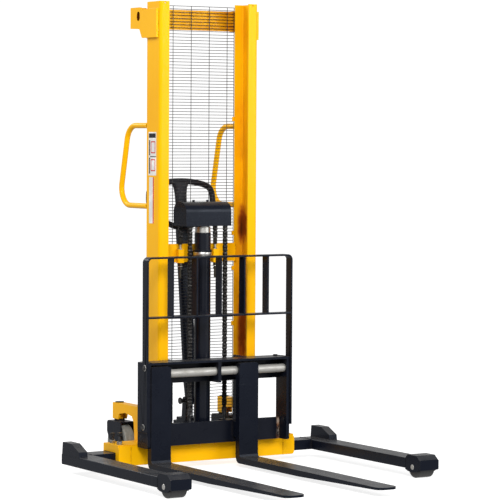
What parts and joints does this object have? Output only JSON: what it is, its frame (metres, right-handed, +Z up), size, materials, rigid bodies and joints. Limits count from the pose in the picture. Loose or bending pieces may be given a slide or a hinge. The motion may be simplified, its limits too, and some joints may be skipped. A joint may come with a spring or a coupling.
{
  "type": "manual hydraulic straddle stacker",
  "caption": "Hand-pumped straddle stacker: channel mast, chain-lifted carriage with sliding forks and load backrest, adjustable straddle legs, rear swivel casters and loop tiller",
  "frame": {"origin": "bottom centre of the whole machine's bounding box, on the floor", "axes": "+X to the machine's right seen from the fork side, -Y along the forks towards their tips, +Z up"},
  "size_m": [1.357, 1.609, 2.09],
  "materials": {
    "painted_yellow": "semi-gloss enamel",
    "painted_black": "semi-gloss enamel",
    "dark_steel": "dark, lightly oiled",
    "chain_steel": "oiled chain",
    "bright_steel": "bright zinc",
    "chrome_rod": "hard chrome",
    "handle_grip": "moulded, matt",
    "tread": "solid polyurethane",
    "wheel_core": "painted casting"
  },
  "bodies": {
    "chassis": {"base_beam": "painted_yellow", "base_plates": "painted_yellow", "base_sleeves": "painted_yellow", "caster_bracket_left": "painted_yellow", "caster_bracket_right": "painted_yellow", "chain_anchor_lugs": "painted_yellow", "chain_anchor_rods": "bright_steel", "chain_rear_runs": "chain_steel", "clamp_bolts": "dark_steel", "clamp_nuts": "bright_steel", "cylinder_clamp": "bright_steel", "cylinder_gland": "bright_steel", "guard_mesh": "dark_steel", "guard_tabs": "painted_yellow", "lift_cylinder": "painted_black", "mast_channel_left": "painted_yellow", "mast_channel_right": "painted_yellow", "mast_mid_crossbeam": "painted_yellow", "mast_top_crossbeam": "painted_yellow", "oil_pipes": "painted_black", "pump_spring": "dark_steel", "pump_unit": "painted_black", "push_handle_left": "painted_yellow", "push_handle_right": "painted_yellow", "tiller_pin": "dark_steel"},
    "leg_left": {"leg_beam_left": "painted_black", "wheel_bracket_left": "painted_black", "load_axle_left": "bright_steel"},
    "leg_right": {"leg_beam_right": "painted_black", "wheel_bracket_right": "painted_black", "load_axle_right": "bright_steel"},
    "roller_left": {"load_roller_left": "tread"},
    "roller_right": {"load_roller_right": "tread"},
    "caster_left": {"caster_yoke_left": "painted_black"},
    "caster_right": {"caster_yoke_right": "painted_black"},
    "caster_wheel_left": {"caster_tyre_left": "tread", "caster_wheel_left": "wheel_core"},
    "caster_wheel_right": {"caster_tyre_right": "tread", "caster_wheel_right": "wheel_core"},
    "carriage": {"carriage_sides": "painted_black", "carriage_top_plate": "painted_black", "carriage_cross_plates": "painted_black", "roller_plates": "painted_black", "fork_bar": "bright_steel", "load_backrest": "painted_black", "carriage_fasteners": "dark_steel", "chain_front_runs": "chain_steel"},
    "guide_rollers_lower": {"carriage_rollers_lower": "dark_steel"},
    "guide_rollers_upper": {"carriage_rollers_upper": "dark_steel"},
    "fork_left": {"fork_left": "painted_black"},
    "fork_right": {"fork_right": "painted_black"},
    "crosshead": {"ram": "chrome_rod", "crosshead_block": "painted_black", "pulley_housing": "painted_black", "chain_wraps": "chain_steel"},
    "pulleys": {"chain_pulleys": "dark_steel"},
    "tiller": {"tiller_arm": "painted_black", "tiller_handle": "handle_grip"},
    "plunger": {"pump_plunger": "bright_steel"},
    "release_lever": {"release_lever": "handle_grip"}
  },
  "joints": [
    {"name": "carriage_lift", "type": "slide", "parent": "chassis", "child": "carriage", "axis": [0, 0, 1], "range_m": [0, 1.6], "deforming": ["chain_front_runs"]},
    {"name": "crosshead_lift", "type": "slide", "parent": "chassis", "child": "crosshead", "axis": [0, 0, 1], "range_m": [0, 0.8], "deforming": ["chain_rear_runs"]},
    {"name": "pulley_spin", "type": "hinge", "parent": "crosshead", "child": "pulleys", "pos_m": [0, 0.4645, 1.136], "axis": [1, 0, 0], "continuous": true},
    {"name": "upper_roller_spin", "type": "hinge", "parent": "carriage", "child": "guide_rollers_upper", "pos_m": [0, 0.4745, 0.43], "axis": [1, 0, 0], "continuous": true},
    {"name": "lower_roller_spin", "type": "hinge", "parent": "carriage", "child": "guide_rollers_lower", "pos_m": [0, 0.4745, 0.185], "axis": [1, 0, 0], "continuous": true},
    {"name": "fork_left_slide", "type": "slide", "parent": "carriage", "child": "fork_left", "axis": [1, 0, 0], "range_m": [0, 0.246]},
    {"name": "fork_right_slide", "type": "slide", "parent": "carriage", "child": "fork_right", "axis": [1, 0, 0], "range_m": [-0.092, 0.154]},
    {"name": "leg_left_slide", "type": "slide", "parent": "chassis", "child": "leg_left", "axis": [1, 0, 0], "range_m": [0, 0.11]},
    {"name": "leg_right_slide", "type": "slide", "parent": "chassis", "child": "leg_right", "axis": [-1, 0, 0], "range_m": [0, 0.11]},
    {"name": "load_roller_left_spin", "type": "hinge", "parent": "leg_left", "child": "roller_left", "pos_m": [-0.627, -0.3705, 0.048], "axis": [1, 0, 0], "continuous": true},
    {"name": "caster_left_swivel", "type": "hinge", "parent": "chassis", "child": "caster_left", "pos_m": [-0.278, 0.7325, 0.19], "axis": [0, 0, 1], "continuous": true},
    {"name": "caster_wheel_left_spin", "type": "hinge", "parent": "caster_left", "child": "caster_wheel_left", "pos_m": [-0.278, 0.7145, 0.09], "axis": [1, 0, 0], "continuous": true},
    {"name": "load_roller_right_spin", "type": "hinge", "parent": "leg_right", "child": "roller_right", "pos_m": [0.627, -0.3705, 0.048], "axis": [1, 0, 0], "continuous": true},
    {"name": "caster_right_swivel", "type": "hinge", "parent": "chassis", "child": "caster_right", "pos_m": [0.278, 0.7325, 0.19], "axis": [0, 0, 1], "continuous": true},
    {"name": "caster_wheel_right_spin", "type": "hinge", "parent": "caster_right", "child": "caster_wheel_right", "pos_m": [0.278, 0.7145, 0.09], "axis": [1, 0, 0], "continuous": true},
    {"name": "tiller_pump", "type": "hinge", "parent": "chassis", "child": "tiller", "pos_m": [0, 0.5625, 0.285], "axis": [-1, 0, 0], "range_deg": [0, 35], "stiffness_Nm_per_rad": 30, "springref_deg": -28.65},
    {"name": "plunger_stroke", "type": "slide", "parent": "chassis", "child": "plunger", "axis": [0, 0, -1], "range_m": [0, 0.028], "deforming": ["pump_spring"]},
    {"name": "lever_squeeze", "type": "hinge", "parent": "tiller", "child": "release_lever", "pos_m": [0, 0.67735, 1.14773], "axis": [-1, 0, 0], "range_deg": [0, 14], "stiffness_Nm_per_rad": 0.6, "springref_deg": -5.73}
  ],
  "couplings": [
    {"joint": "crosshead_lift", "follows": "carriage_lift", "ratio": 0.5},
    {"joint": "pulley_spin", "follows": "carriage_lift", "rad_per_m": -11.364},
    {"joint": "upper_roller_spin", "follows": "carriage_lift", "rad_per_m": 18.797},
    {"joint": "lower_roller_spin", "follows": "carriage_lift", "rad_per_m": -18.797},
    {"joint": "plunger_stroke", "follows": "tiller_pump", "m_per_rad": 0.045}
  ]
}
